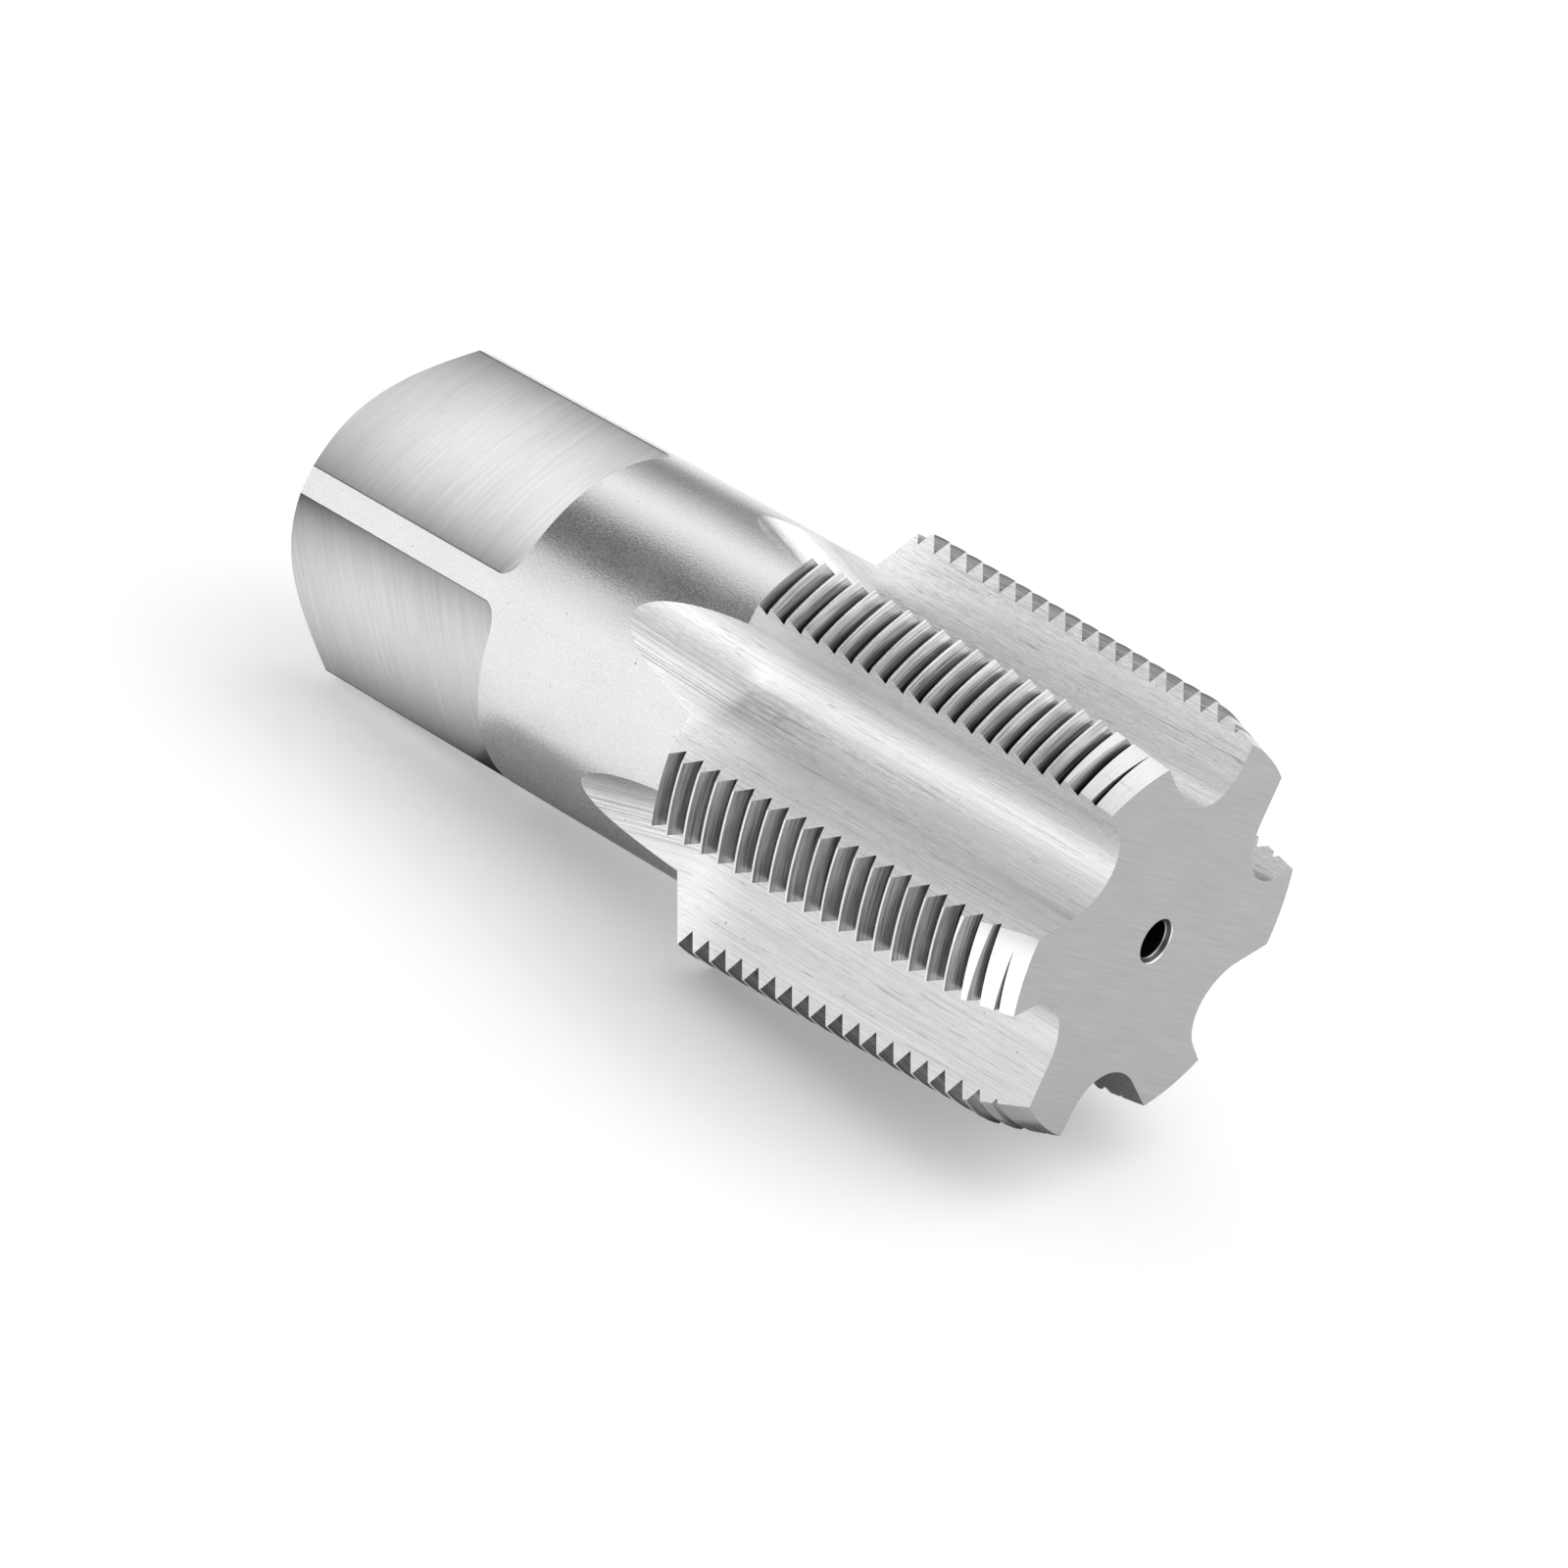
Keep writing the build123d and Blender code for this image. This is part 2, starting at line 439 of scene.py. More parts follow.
def cutTree(objects, materials):
    tree = bpy.data.node_groups.new("cutTap", "GeometryNodeTree")
    face = tree.interface
    for name in objects:
        face.new_socket(name, in_out="INPUT", socket_type="NodeSocketObject")
    numbers = {"Lands": flute["count"], "Grooves": thread["grooves"], "Flats": tap["squareSides"]}
    for name, value in numbers.items():
        face.new_socket(name, in_out="INPUT", socket_type="NodeSocketInt").default_value = value
    lengths = {"Pitch": thread["pitch"], "First root": tap["length"] - thread["firstRootFromFront"],
               "Last root": lastRoot, "Length": tap["length"], "Taper": thread["taper"],
               "Land middle": landMiddle, "Square turn": tap["squareTurn"]}
    for name, value in lengths.items():
        face.new_socket(name, in_out="INPUT", socket_type="NodeSocketFloat").default_value = value
    face.new_socket("Tap", in_out="OUTPUT", socket_type="NodeSocketGeometry")
    graph = Graph(tree)
    entry = tree.nodes.new("NodeGroupInput")
    given = {output.name: Wire(graph, output) for output in entry.outputs if output.name}

    def shape(name):
        return graph.add("GeometryNodeObjectInfo", {}, {"Object": given[name]}, out="Geometry")

    def stored(geometry, domain, kind, sockets):
        return graph.add("GeometryNodeStoreNamedAttribute", {"data_type": kind, "domain": domain},
                         {"Geometry": geometry, **sockets})

    def marked(geometry, finish, **which):
        return stored(geometry, "FACE", "INT", {"Name": "finish", "Value": finishes[finish], **which})

    def attribute(name, kind):
        return graph.add("GeometryNodeInputNamedAttribute", {"data_type": kind}, {"Name": name})

    def copies(points, geometry, turn, finish):
        turned = graph.add("GeometryNodeInstanceOnPoints", {}, {
            "Points": points, "Instance": geometry, "Rotation": graph.vector(turn * radians(1), 0.0, 0.0)})
        return marked(graph.add("GeometryNodeRealizeInstances", {}, {"Geometry": turned}), finish)

    def row(count):
        return graph.add("GeometryNodePoints", {}, {"Count": count})

    index = graph.add("GeometryNodeInputIndex")
    landStep, flatStep = 360.0 / given["Lands"], 360.0 / given["Flats"]
    landTurn, flatTurn = given["Land middle"] - index * landStep, index * flatStep + given["Square turn"]
    flutes = copies(row(given["Lands"]), shape("Flute"), index * landStep, "flute")
    flats = copies(row(given["Flats"]), shape("Flat"), flatTurn, "flat")
    chamfers = copies(row(given["Lands"]), shape("Chamfer"), landTurn, "chamfer")

    # Grooves run land by land, each set along the axis by the part of a pitch that its angle asks for
    land = (index / given["Grooves"]).math("FLOOR")
    angle = given["Land middle"] - land * landStep
    start = given["First root"] + given["Pitch"] * angle / 360.0
    place = start - (index % given["Grooves"] - thread["groovesAhead"]) * given["Pitch"]
    spots = graph.add("GeometryNodeSetPosition", {}, {
        "Geometry": row(given["Lands"] * given["Grooves"]), "Position": graph.vector(place, 0.0, 0.0)})
    # The kept points carry their angle, because deleting some renumbers the rest
    spots = stored(spots, "POINT", "FLOAT", {"Name": "angle", "Value": angle})
    spots = graph.add("GeometryNodeDeleteGeometry", {"domain": "POINT"}, {
        "Geometry": spots, "Selection": place < given["Last root"]})
    grooves = copies(spots, shape("Groove"), attribute("angle", "FLOAT"), "thread")
    x, y, z = graph.parts(graph.add("GeometryNodeInputPosition"))
    outward = graph.add("ShaderNodeVectorMath", {"operation": "NORMALIZE"}, {0: graph.vector(0.0, y, z)})
    widening = graph.add("ShaderNodeVectorMath", {"operation": "SCALE"}, {
        0: outward, "Scale": (given["Length"] - x) * given["Taper"]})
    grooves = graph.add("GeometryNodeSetPosition", {}, {"Geometry": grooves, "Offset": widening})

    lookX = graph.parts(graph.add("GeometryNodeInputNormal"))[0].math("ABSOLUTE")
    cut = marked(marked(shape("Blank"), "turned"), "face", Selection=lookX > endFaceTurn)
    holes = [marked(shape(name), "hole") for name in ("Front centre", "Shank centre")]
    for tool in [flutes, grooves, chamfers, flats] + holes:
        cut = graph.add("GeometryNodeMeshBoolean", {"operation": "DIFFERENCE", "solver": "MANIFOLD"}, {
            "Mesh 1": cut, "Mesh 2": tool})
    cut = graph.add("GeometryNodeRealizeInstances", {}, {"Geometry": cut})
    kind = attribute("finish", "INT")
    for name, material in materials.items():
        match = graph.add("FunctionNodeCompare", {"data_type": "INT", "operation": "EQUAL"}, {
            2: kind, 3: finishes[name]})
        cut = graph.add("GeometryNodeSetMaterial", {}, {
            "Geometry": cut, "Selection": match, "Material": material})
    graph.output("NodeGroupOutput", 0, cut)
    return tree


# Runs a tree on an empty mesh and keeps what it makes as a plain one. Inputs go by their identifiers.
def runTree(name, tree, values):
    holder = addObject(name + "Holder", bpy.data.meshes.new(name + "Holder"))
    modifier = holder.modifiers.new("tree", "NODES")
    modifier.node_group = tree
    for item in tree.interface.items_tree:
        if item.in_out == "INPUT" and item.name in values:
            modifier[item.identifier] = values[item.name]
    graph = bpy.context.evaluated_depsgraph_get()
    made = holder.evaluated_get(graph)
    mesh = bpy.data.meshes.new_from_object(made, preserve_all_data_layers=True, depsgraph=graph)
    holder.modifiers.remove(modifier)
    bpy.data.objects.remove(holder)
    mesh.name = name
    return addObject(name, mesh)


# The tap's own frame in the scene, from the mounts: its axis, and the turn of its first flat
def ownFrame():
    along = Vector(mounts["front_centre"]["axis"]).normalized()
    flatUp = Vector(mounts["drive_flat_1"]["axis"]).normalized()
    up = Matrix.Rotation(radians(-tap["squareTurn"]), 3, along) @ flatUp
    side = up.cross(along)
    origin = Vector(mounts["shank"]["pos_m"]) - along * tap["shankMountAt"] / 1000
    turn = Matrix((along, side, up)).transposed()
    return turn, origin


turn, origin = ownFrame()


# Steel finishes. Each reads its place on the tap in millimetres, and gives how much light the steel
# sends back, how rough it is, and the height of its marks in millimetres.
steelTone = {"dark": 0.02, "light": 1.0}


def ownPlace(graph):
    spot = graph.add("ShaderNodeTexCoord", out="Object")
    return graph.add("ShaderNodeMapping", {"vector_type": "TEXTURE"}, {
        "Vector": spot, "Location": origin, "Rotation": turn.to_euler(), "Scale": (0.001, 0.001, 0.001)})


def radiusOf(y, z):
    return (y ** 2.0 + z ** 2.0).math("SQRT")


# Angle round the axis from straight up, as the lands are counted
def angleOf(y, z):
    return (-y).math("ARCTAN2", z)


# Number and angle of the nearest of the flats or flutes, which are evenly spaced
def nearest(angle, first, spacing):
    number = ((angle - first) / spacing).math("ROUND")
    return number, number * spacing + first


# Noise pulled out along some directions: a small stretch makes a long streak
def streaks(graph, place, stretch, detail=3.0, roughness=0.55):
    pulled = graph.add("ShaderNodeVectorMath", {"operation": "MULTIPLY"}, {0: place, 1: stretch})
    return graph.add("ShaderNodeTexNoise", {}, {
        "Vector": pulled, "Scale": 1.0, "Detail": detail, "Roughness": roughness})


# The same from three wires that are already stretched
def streaksOf(graph, x, y, z, detail, roughness=0.55):
    return streaks(graph, graph.vector(x, y, z), (1.0, 1.0, 1.0), detail, roughness)


# Takes a noise to both sides of zero
def swing(noise, amount):
    return (noise - 0.5) * amount


# Rises smoothly from 0 to 1 between two values, or falls where the first is the greater
def easeBetween(graph, value, low, high):
    return graph.add("ShaderNodeMapRange", {"interpolation_type": "SMOOTHSTEP"}, {
        "Value": value, "From Min": low, "From Max": high})


# Rare small dark specks, 1 in their middle
def specks(graph, place, finer):
    spots = streaks(graph, place, (finer, finer, finer), 1.0)
    return easeBetween(graph, spots, 0.76, 0.80)


# Rare thin lines where a noise passes one value, 1 on each line
def scratches(graph, wander, value, width):
    return 1.0 - easeBetween(graph, (wander - value).math("ABSOLUTE"), 0.0, width)


# Turned and ground surfaces of the shank and its ends: fine grain, faint rings, stains and specks
shankLook = {
    "tone": 0.775, "rough": 0.27,
    "grain": (4.2, 4.2, 4.2), "grainTone": 0.30, "grainRough": 0.15, "grainDepth": 0.020,
    "stains": (0.12, 0.2, 0.2), "stainTone": 0.12, "stainRough": 0.12,
    "rings": (9.0, 0.12, 0.12), "ringDepth": 0.006,
    "specks": 2.4, "speckShade": 0.5,
}


def groundShank(graph, place):
    look = shankLook
    grain = streaks(graph, place, look["grain"])
    rings = streaks(graph, place, look["rings"], 2.0)
    stains = streaks(graph, place, look["stains"])
    tone = look["tone"] + swing(grain, look["grainTone"]) + swing(stains, look["stainTone"])
    return {"tone": tone - specks(graph, place, look["specks"]) * look["speckShade"],
            "rough": look["rough"] + swing(stains, look["stainRough"]) + swing(grain, look["grainRough"]),
            "height": grain * look["grainDepth"] + rings * look["ringDepth"]}


# Drive flats: arcs that the face mill leaves as it goes along the tap, on each flat in its own plane.
# Each has a painted sheen, brightest along a line near its middle, with painted shade towards the shank end
# and along its long edges.
flatLook = {
    "tone": 0.87, "rough": 0.30,
    "millRadius": 62.0, "millOff": 6.0, "nextFlat": 31.0,
    "lines": (2.4, 0.05), "lineTone": 0.45, "lineDepth": 0.010,
    "broad": (0.22, 0.09), "broadRough": 0.15,
    "cuts": (0.9, 0.16), "nextCuts": 3.0, "cutAt": 0.52, "cutWidth": 0.006, "cutShade": 0.12,
    "paintedSheen": 0.50, "nextSheen": 0.1, "halfWidth": 11.0,
    "sheenFrom": 17.0, "sheenLean": 0.02, "nextLean": 0.12,
    "endRange": (-2.0, 16.0), "endShade": 0.28,
    "edgeRange": (0.3, 0.05), "edgeShade": 0.6,
}


def milledFlat(graph, place):
    look = flatLook
    x, y, z = graph.parts(place)
    flat, facing = nearest(angleOf(y, z), radians(tap["squareTurn"]), radians(flatSpacing))
    across = (y * facing.math("COSINE") + z * facing.math("SINE")) * -1.0
    bow = (look["millRadius"] ** 2 - (across + look["millOff"]) ** 2.0).math("SQRT")
    along = x + bow + flat * look["nextFlat"]

    def arcs(stretch, number, detail, roughness=0.55):
        return streaksOf(graph, along * stretch[0], across * stretch[1], number, detail, roughness)

    lines = arcs(look["lines"], flat, 5.0, 0.7)
    broad = arcs(look["broad"], flat, 2.0)
    cut = scratches(graph, arcs(look["cuts"], flat * look["nextCuts"], 2.0), look["cutAt"], look["cutWidth"])
    # Painted sheen across each flat, and painted shade towards the shank end and the long edges
    lean = (x - look["sheenFrom"]) * (look["sheenLean"] + flat * look["nextLean"])
    ridge = (across + lean) / look["halfWidth"]
    paintedSheen = 1.0 - ridge ** 2.0 * (look["paintedSheen"] + flat * look["nextSheen"])
    paintedSheen = paintedSheen * (1.0 - (1.0 - easeBetween(graph, x, *look["endRange"])) * look["endShade"])
    inner, outer = [halfFlat - width for width in look["edgeRange"]]
    edge = easeBetween(graph, across.math("ABSOLUTE"), inner, outer)
    paintedSheen = paintedSheen * (1.0 - edge * look["edgeShade"])
    return {"tone": (look["tone"] + swing(lines, look["lineTone"]) - cut * look["cutShade"]) * paintedSheen,
            "rough": look["rough"] + swing(broad, look["broadRough"]),
            "height": lines * look["lineDepth"]}


# Flutes: long grinding lines along the flute and its cutting face. Distances are along the tap, and
# angles in degrees to the sides of the flute's lowest line.
fluteLook = {
    "tone": 0.77, "rough": 0.26,
    "lines": (0.08, 5.0, 5.0), "lineTone": 0.4, "lineRough": 0.1, "lineDepth": 0.008,
    "hair": (0.5, 26.0, 26.0), "hairDepth": 0.022,
    "broad": (0.03, 0.5, 0.5), "broadTone": 0.15, "broadRough": 0.16,
    "scratch": (0.02, 1.5, 1.5), "scratchAt": 0.56, "scratchWidth": 0.010, "scratchShade": 0.28,
    "specks": 2.0, "speckShade": 0.35,
    "rootLightHeight": 2.0, "rootLightTone": 0.09,
    "heelAngles": (5, 14), "heelRange": (64.0, 72.0), "heelShade": 0.10,
    "runOutRange": (69.0, 60.0), "runOutHighlight": 0.2,
    "bundle": (0.02, 6.0, 6.0), "bundleNoise": (0.45, 0.60), "bundleLines": 0.75,
    "bundleIn": (-4, 2), "bundleOut": (19, 11), "bundleRange": (77.0, 58.0), "bundleShade": 0.42,
}


# A place on a flute's run-out, let down by the rise that the wheel had there
def alongWheel(graph, place):
    x, y, z = graph.parts(place)
    facing = nearest(angleOf(y, z), fluteBottom, radians(landSpacing))[1]
    behind = (threadBack - flute["behindThread"] - x).math("MAXIMUM", 0.0)
    blend = flute["runOutBlend"]
    rise = ((behind ** 2.0 + blend ** 2).math("SQRT") - blend) * flute["runOutSlope"]
    return graph.vector(x, y + facing.math("SINE") * rise, z - facing.math("COSINE") * rise)


def groundFlute(graph, place):
    look = fluteLook
    place = alongWheel(graph, place)
    lines = streaks(graph, place, look["lines"], 4.0, 0.6)
    hair = streaks(graph, place, look["hair"], 1.0)
    broad = streaks(graph, place, look["broad"])
    x, y, z = graph.parts(place)
    half = radians(landSpacing / 2)
    side = (angleOf(y, z) - fluteBottom + half) % radians(landSpacing) - half

    def between(value, ends):
        return easeBetween(graph, value, *ends)

    # Painted light near the flute's lowest line, lighter the deeper the surface lies
    paintedRootLight = easeBetween(graph, radiusOf(y, z), flute["coreRadius"] + look["rootLightHeight"], flute["coreRadius"])
    # Painted shade on the heel side of the flute, fading out towards the run-out
    heel = between(side, np.radians(look["heelAngles"])) * between(x, look["heelRange"])
    # A bundle of dark lines beside the middle, where the wheel left the shank, over a patch of painted shade
    bundle = between(side, np.radians(look["bundleIn"])) * between(side, np.radians(look["bundleOut"]))
    bundle = bundle * between(x, look["bundleRange"])
    lined = between(streaks(graph, place, look["bundle"]), look["bundleNoise"]) * look["bundleLines"]
    dark = (lined + (1.0 - look["bundleLines"])) * bundle
    wander = streaks(graph, place, look["scratch"], 2.0)
    marks = scratches(graph, wander, look["scratchAt"], look["scratchWidth"]) * look["scratchShade"]
    marks = marks + dark * look["bundleShade"] + specks(graph, place, look["specks"]) * look["speckShade"]
    tone = look["tone"] + swing(lines, look["lineTone"]) + swing(broad, look["broadTone"]) - marks
    # Painted highlight on the run-out, lighter towards the shank
    tone = tone + between(x, look["runOutRange"]) * look["runOutHighlight"]
    return {"tone": tone + paintedRootLight * look["rootLightTone"] - heel * look["heelShade"],
            "rough": look["rough"] + swing(broad, look["broadRough"]) + swing(lines, look["lineRough"]),
            "height": lines * look["lineDepth"] + hair * look["hairDepth"]}


# Thread: lines along the groove, with painted shade towards its root and a painted highlight at its crest.
# The first land is painted lightest, and the others get painted shade the further they are round from it.
# A rise of 0 is at the groove's root, and one of 1 at its crest.
threadLook = {
    "tone": 0.62, "rootTone": 0.015, "crestHighlight": 1.0, "rough": 0.30,
    "brightTurn": 15.0, "brightPower": 3.0, "farTone": 0.47,
    "lines": 5.0, "roundLines": 2.5, "lineTone": 1.5, "lineRough": 0.2, "lineDepth": 0.03,
    "broad": (0.5, 0.25, 0.25), "broadTone": 0.4,
    "rootWander": 0.6, "rootFrom": -1.2, "rootFromBright": 1.25, "rootTo": 0.75,
    "lastRange": (0.4, -0.6), "lastRoot": 1.5,
    "crestRange": (0.95, 0.98), "crestSmooth": 0.08,
    "darkestLand": 0.6, "landShadeToCrest": 1.0, "crestShadowRange": (0.78, 0.88), "crestShadowShade": 0.45,
}


# How much painted light a land gets: 1 at the first land, and less for the others
def paintedLightOfLand(graph, place):
    x, y, z = graph.parts(place)
    away = angleOf(y, z) - radians(landMiddle + threadLook["brightTurn"])
    return (away.math("COSINE") * 0.5 + 0.5) ** threadLook["brightPower"]


def groundThread(graph, place):
    look = threadLook
    x, y, z = graph.parts(place)
    radius = radiusOf(y, z)
    rise = (radius - thread["frontRootRadius"] - (tap["length"] - x) * thread["taper"]) / toothDepth
    lines = look["lines"]
    fineLines = streaksOf(graph, x * lines, radius * lines, angleOf(y, z) * look["roundLines"], 4.0, 0.65)
    broad = streaks(graph, place, look["broad"], 2.0)
    paintedLight = paintedLightOfLand(graph, place)
    landDarkening = (1.0 - paintedLight).math("MINIMUM", look["darkestLand"])
    # Painted shade by land: lands further round from the first are darker, and darker again towards their
    # crests
    landShade = look["farTone"] + easeBetween(graph, paintedLight, 0.0, 1.0) * (1.0 - look["farTone"])
    landShade = landShade * (1.0 - landDarkening * rise * look["landShadeToCrest"])
    # Painted shade towards each groove's root, less of it on the first land
    rootFrom = paintedLight * look["rootFromBright"] + look["rootFrom"]
    lit = easeBetween(graph, rise + swing(fineLines, look["rootWander"]), rootFrom, look["rootTo"])
    # The painted root shade is lifted in the last groove, which runs out on the shoulder and is open to the
    # light
    lastFrom, lastTo = [threadBack + step for step in look["lastRange"]]
    lit = lit.math("MAXIMUM", easeBetween(graph, x, lastFrom, lastTo) * look["lastRoot"])
    streak = swing(fineLines, look["lineTone"]) + swing(broad, look["broadTone"])
    tone = (look["rootTone"] + lit * (look["tone"] - look["rootTone"] + streak)) * landShade
    # A thin painted shadow lies under each crest of the more shaded lands
    tone = tone * (1.0 - easeBetween(graph, rise, *look["crestShadowRange"]) * landDarkening * look["crestShadowShade"])
    # A painted highlight along each crest
    crest = easeBetween(graph, rise, *look["crestRange"])
    return {"tone": tone + crest * (look["crestHighlight"] - tone),
            "rough": look["rough"] + swing(fineLines, look["lineRough"]) - crest * look["crestSmooth"],
            "height": fineLines * look["lineDepth"]}


# Chamfer: lines round the tap, with painted light and shade. The land after the first is painted lightest,
# and the far ones darkest.
chamferLook = {
    "tone": 0.60, "nextTone": 1.0, "farTone": 0.30, "rough": 0.25,
    "nextAngles": (20, 40), "nearFrom": 0.4,
    "lines": (6.0, 0.3, 0.3), "lineTone": 0.2, "lineRough": 0.15, "lineDepth": 0.008,
}


def groundChamfer(graph, place):
    look = chamferLook
    lines = streaks(graph, place, look["lines"], 4.0, 0.6)
    x, y, z = graph.parts(place)
    fromFirst = angleOf(y, z) - radians(landMiddle)
    following = easeBetween(graph, fromFirst, *np.radians(look["nextAngles"]))
    nearTone = look["tone"] + following * (look["nextTone"] - look["tone"])
    near = easeBetween(graph, paintedLightOfLand(graph, place), 0.0, look["nearFrom"])
    tone = look["farTone"] + near * (nearTone - look["farTone"])
    return {"tone": tone + swing(lines, look["lineTone"]),
            "rough": look["rough"] + swing(lines, look["lineRough"]),
            "height": lines * look["lineDepth"]}


# Flat end faces: straight surface-grinding lines across the whole face
faceLook = {
    "tone": 0.40, "rough": 0.32,
    "lineTurn": 120.0, "lines": (0.12, 6.0), "lineTone": 0.22, "lineDepth": 0.012,
    "broad": (0.1, 0.3), "broadTone": 0.06, "broadRough": 0.1,
}


def groundFace(graph, place):
    look = faceLook
    x, y, z = graph.parts(place)
    lean = radians(look["lineTurn"])
    along = y * cos(lean) + z * sin(lean)
    across = z * cos(lean) - y * sin(lean)
    lines = streaksOf(graph, x, along * look["lines"][0], across * look["lines"][1], 5.0, 0.65)
    broad = streaksOf(graph, x, along * look["broad"][0], across * look["broad"][1], 2.0)
    return {"tone": look["tone"] + swing(lines, look["lineTone"]) + swing(broad, look["broadTone"]),
            "rough": look["rough"] + swing(broad, look["broadRough"]),
            "height": lines * look["lineDepth"]}


# Centre holes: painted shade inside, with a painted highlight on the rim and on the edge where the cone meets
# the pilot in front
holeLook = {
    "tone": 0.01, "rough": 0.35,
    "rings": (6.0, 0.3, 0.3), "ringTone": 0.10, "ringRough": 0.1, "ringDepth": 0.01,
    "rimRange": (0.10, 0.04), "rimHighlight": 0.9,
    "edgeOut": 0.05, "edgeRange": (0.02, 0.05), "edgeHighlight": 0.4,
    "highlightDepth": 2.0,
}


def drilledHole(graph, place):
    look = holeLook
    rings = streaks(graph, place, look["rings"])
    x, y, z = graph.parts(place)
    radius = radiusOf(y, z)
    rimFrom, rimTo = [centre["frontMouth"] / 2 - width for width in look["rimRange"]]
    rim = easeBetween(graph, radius, rimFrom, rimTo)
    fromEdge = (radius - centre["frontDrill"] / 2 - look["edgeOut"]).math("ABSOLUTE")
    edge = 1.0 - easeBetween(graph, fromEdge, *look["edgeRange"])
    paintedLight = (rim * look["rimHighlight"] + edge * look["edgeHighlight"]) * (x > tap["length"] - look["highlightDepth"])
    return {"tone": look["tone"] + rings * look["ringTone"] + paintedLight,
            "rough": look["rough"] + swing(rings, look["ringRough"]),
            "height": rings * look["ringDepth"]}


def steel(finish):
    material = bpy.data.materials.new(finish.__name__)
    graph = emptyGraph(material)
    marks = finish(graph, ownPlace(graph))
    tone = marks["tone"].math("MINIMUM", 1.0).math("MAXIMUM", 0.0)
    colour = graph.blend(tone, grey(steelTone["dark"]), grey(steelTone["light"]))
    bump = graph.add("ShaderNodeBump", {}, {"Height": marks["height"], "Strength": 1.0, "Distance": 0.001})
    shader = graph.add("ShaderNodeBsdfPrincipled", {}, {
        "Base Color": colour, "Metallic": 1.0, "Roughness": marks["rough"], "Normal": bump})
    graph.output("ShaderNodeOutputMaterial", "Surface", shader)
    return material


materials = {
    "turned": steel(groundShank),
    "flute": steel(groundFlute),
    "thread": steel(groundThread),
    "chamfer": steel(groundChamfer),
    "flat": steel(milledFlat),
    "hole": steel(drilledHole),
    "face": steel(groundFace),
}

cutters = {
    "Blank": makeBlank(),
    "Flute": makeFlute(),
    "Groove": makeGroove(),
    "Chamfer": makeChamfer(),
    "Flat": makeFlat(),
    "Front centre": makeCentre("front", True),
    "Shank centre": makeCentre("shank", False),
}
print("blank and cutters made")

piece = runTree("pipeTap", cutTree(list(cutters), materials), cutters)
print("tap cut:", len(piece.data.polygons), "faces")
for helper in cutters.values():
    bpy.data.objects.remove(helper)


# Puts the tap's mesh in its place, in metres. Its edges stay sharp where they turn or the finish changes.
def finishMesh(mesh):
    mesh.transform(Matrix.Translation(origin) @ turn.to_4x4() @ Matrix.Scale(0.001, 4))
    limit = radians(fine["smoothUnder"])
    shape = bmesh.new()
    shape.from_mesh(mesh)
    bmesh.ops.triangulate(shape, faces=shape.faces)
    kind = shape.faces.layers.int.get("finish")
    for edge in shape.edges:
        sides = edge.link_faces
        edge.smooth = len(sides) == 2 and sides[0][kind] == sides[1][kind] and edge.calc_face_angle(0) < limit
    for side in shape.faces:
        side.smooth = True
    shape.to_mesh(mesh)
    shape.free()


finishMesh(piece.data)
print("triangles", len(piece.data.polygons))
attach(piece, "root")
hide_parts("pipe_tap")


# Floor, which glows white where it is seen and keeps the tap's shadow
floorLook = {"size": 3.0, "shade": 0.86, "glow": 0.22}


# A flat sheet through four corners, for the stage
def addSheet(name, materialName, corners):
    mesh = bpy.data.meshes.new(name)
    mesh.from_pydata([tuple(corner) for corner in corners], [], [(0, 1, 2, 3)])
    sheet = addObject(name, mesh)
    material = bpy.data.materials.new(materialName)
    mesh.materials.append(material)
    return sheet, emptyGraph(material)


# 1 for what the camera, metal and glass see, and 0 for the light that falls on things
def seenRay(graph):
    path = graph.add("ShaderNodeLightPath").socket.node
    eye, glossy, through = [Wire(graph, path.outputs[name]) for name in
                            ("Is Camera Ray", "Is Glossy Ray", "Is Transmission Ray")]
    return (eye + glossy + through).math("MINIMUM", 1.0)


def addFloor():
    size = floorLook["size"]
    corners = [(-size, -size, 0), (size, -size, 0), (size, size, 0), (-size, size, 0)]
    floor, graph = addSheet("floor", "paleFloor", corners)
    glow = graph.add("ShaderNodeEmission", {}, {"Strength": seenRay(graph) * floorLook["glow"]})
    matt = graph.add("ShaderNodeBsdfDiffuse", {}, {"Color": grey(floorLook["shade"])})
    both = graph.add("ShaderNodeAddShader", {}, {0: matt, 1: glow})
    graph.output("ShaderNodeOutputMaterial", "Surface", both)


# Cards that only the steel reflects. One is close over the shank and darkens a band along its round side.
# The others lie on the floor under the shank and under the nose as painted shadow, and darken the tap's
# undersides.
cards = {
    "overCard": {"middle": (-0.132, -0.045, 0.129), "lean": 22.0, "halfLength": 0.08, "halfWidth": 0.040,
                 "shade": 0.12},
    # Painted shadows on the floor, seen only in the steel
    "underCard": {"middle": (-0.012, -0.015, 0.0004), "lean": 0.0, "halfLength": 0.015, "halfWidth": 0.011,
                  "shade": 0.50},
    "noseCard": {"middle": (0.047, 0.005, 0.0004), "lean": 0.0, "halfLength": 0.013, "halfWidth": 0.012,
                 "shade": 0.32},
}


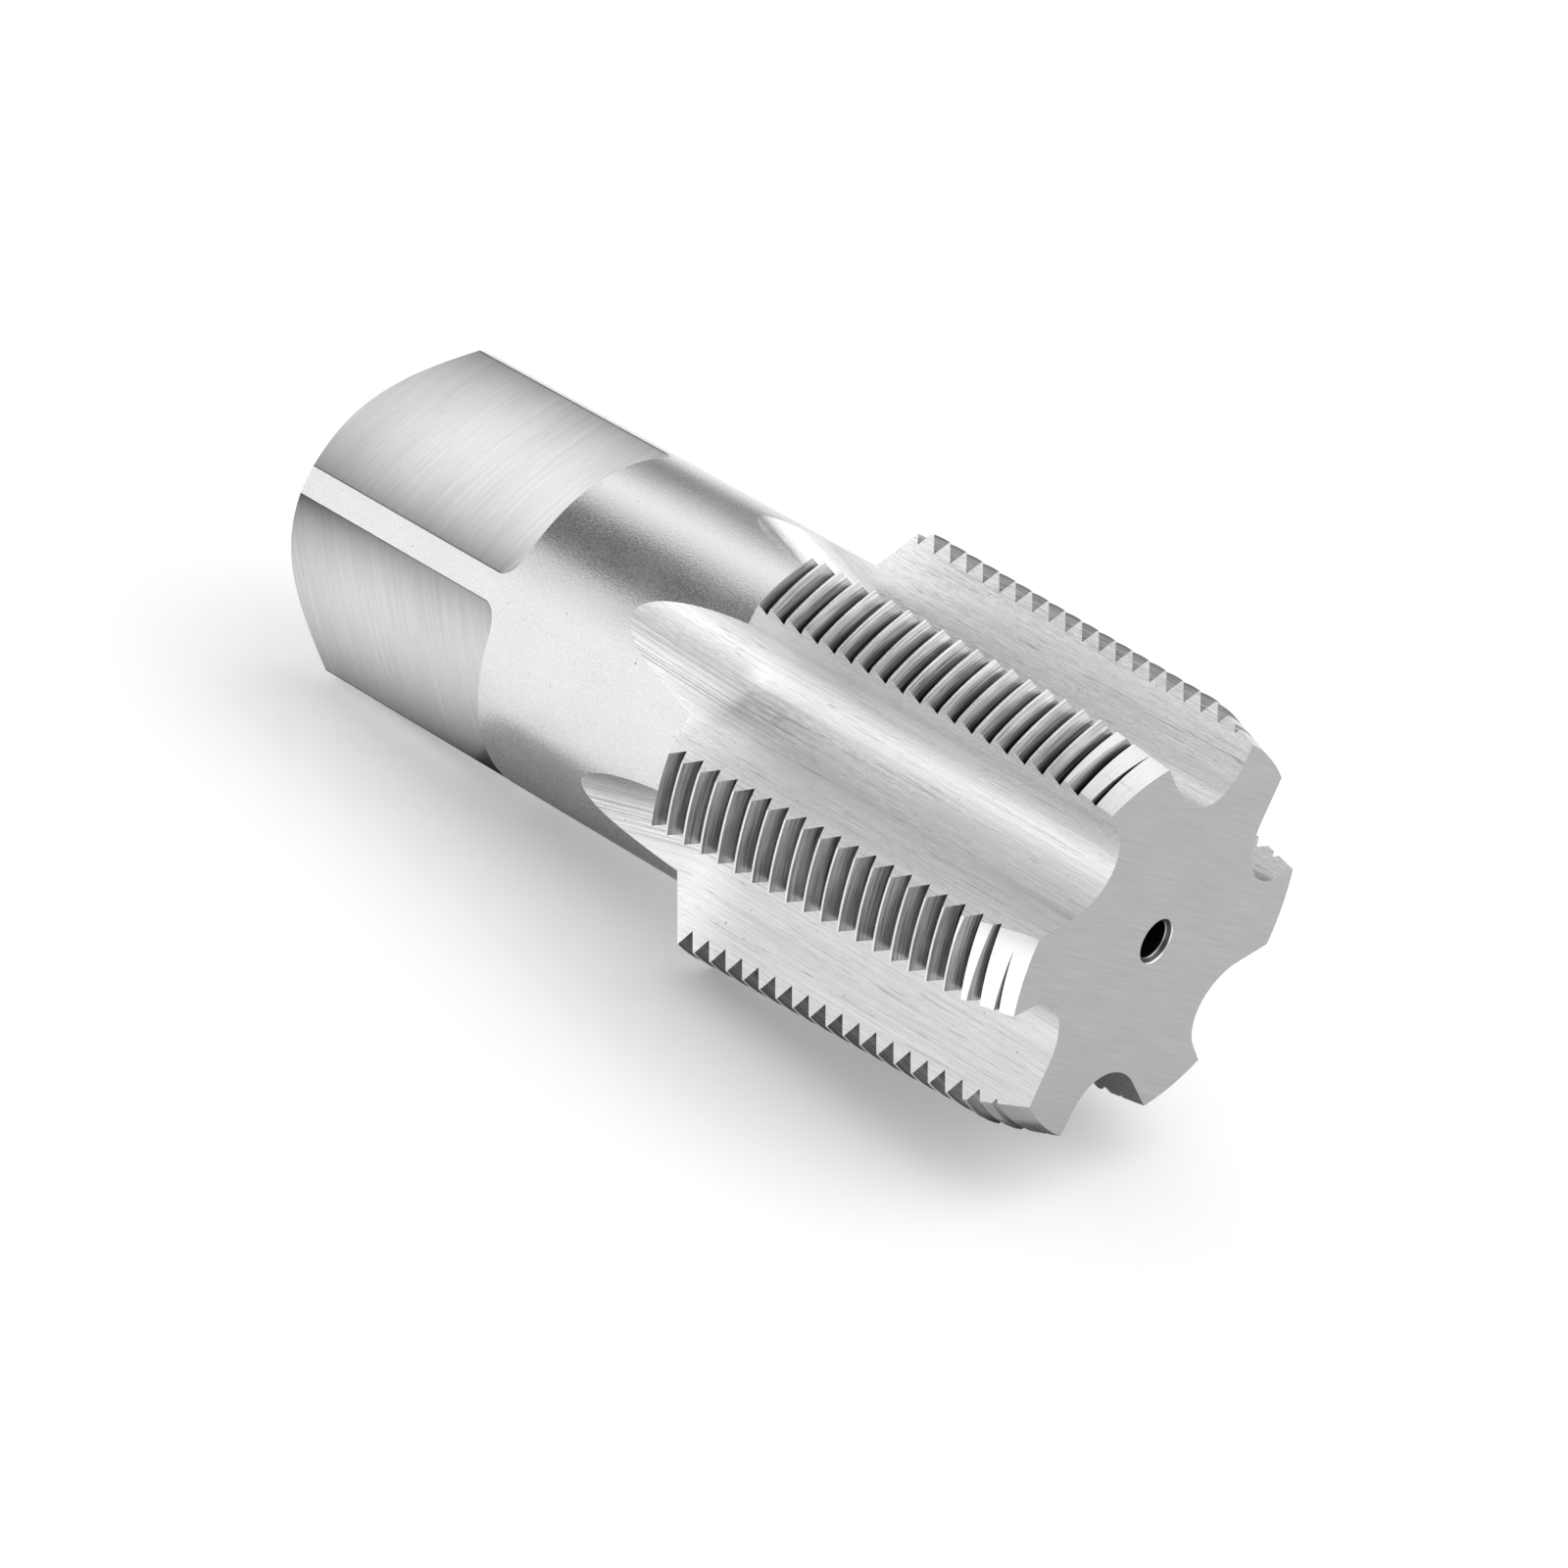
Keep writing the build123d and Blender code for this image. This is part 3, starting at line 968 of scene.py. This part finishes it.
def addCard(name, look):
    lean = radians(look["lean"])
    middle, along = Vector(look["middle"]), Vector((look["halfLength"], 0, 0))
    across = Vector((0, cos(lean), sin(lean))) * look["halfWidth"]
    corners = [middle - along - across, middle + along - across,
               middle + along + across, middle - along + across]
    card, graph = addSheet(name, name, corners)
    matt = graph.add("ShaderNodeBsdfDiffuse", {}, {"Color": grey(look["shade"])})
    graph.output("ShaderNodeOutputMaterial", "Surface", matt)
    card.visible_camera = False
    card.visible_diffuse = False
    card.visible_shadow = False


# Studio round the tap. The two lights give its brightness by degrees from straight up towards the viewer's
# side, behind the shank's end and over the tap. Sides run along X, and the walls are white up to their top.
studio = {
    "shankLight": [(-150, 0.9), (-100, 0.7), (-70, 0.12), (-46, 0.6), (-27, 1.3), (-8, 0.75),
                   (10, 0.6), (32, 0.7), (54, 0.80), (72, 1.12), (100, 1.2), (150, 1.0)],
    "overLight": [(-150, 0.9), (-90, 1.2), (-60, 1.1), (-20, 1.9), (12, 1.3),
                  (40, 0.5), (80, 0.5), (110, 0.8), (150, 0.9)],
    "shankSide": (-0.32, 0.05),
    "noseSide": (0.74, 0.95),
    "noseShade": 0.35,
    "backSide": (-0.68, -0.85),
    "backShade": 1.15,
    "wallTop": (0.03, 0.12),
    "wallShade": 1.0,
}


def lightWorld():
    world = bpy.data.worlds.new("studio")
    scene.world = world
    graph = emptyGraph(world)
    x, y, z = graph.parts(graph.add("ShaderNodeTexCoord", out="Generated"))
    around = angleOf(y, z) / (2 * pi) + 0.5

    def bands(light):
        stops = [(angle / 360 + 0.5, shade) for angle, shade in light]
        return graph.add("ShaderNodeValToRGB", {"stops": stops}, {"Fac": around})

    shade = graph.blend(easeBetween(graph, x, *studio["shankSide"]), bands(studio["shankLight"]),
                        bands(studio["overLight"]))
    for side, level in (("noseSide", "noseShade"), ("backSide", "backShade")):
        shade = graph.blend(easeBetween(graph, x, *studio[side]), shade, grey(studio[level]))
    shade = graph.blend(easeBetween(graph, z, *studio["wallTop"]), grey(studio["wallShade"]), shade)
    background = graph.add("ShaderNodeBackground", {}, {"Color": shade})
    graph.output("ShaderNodeOutputWorld", "Surface", background)


addFloor()
for name, look in cards.items():
    addCard(name, look)
lightWorld()
print("stage set")
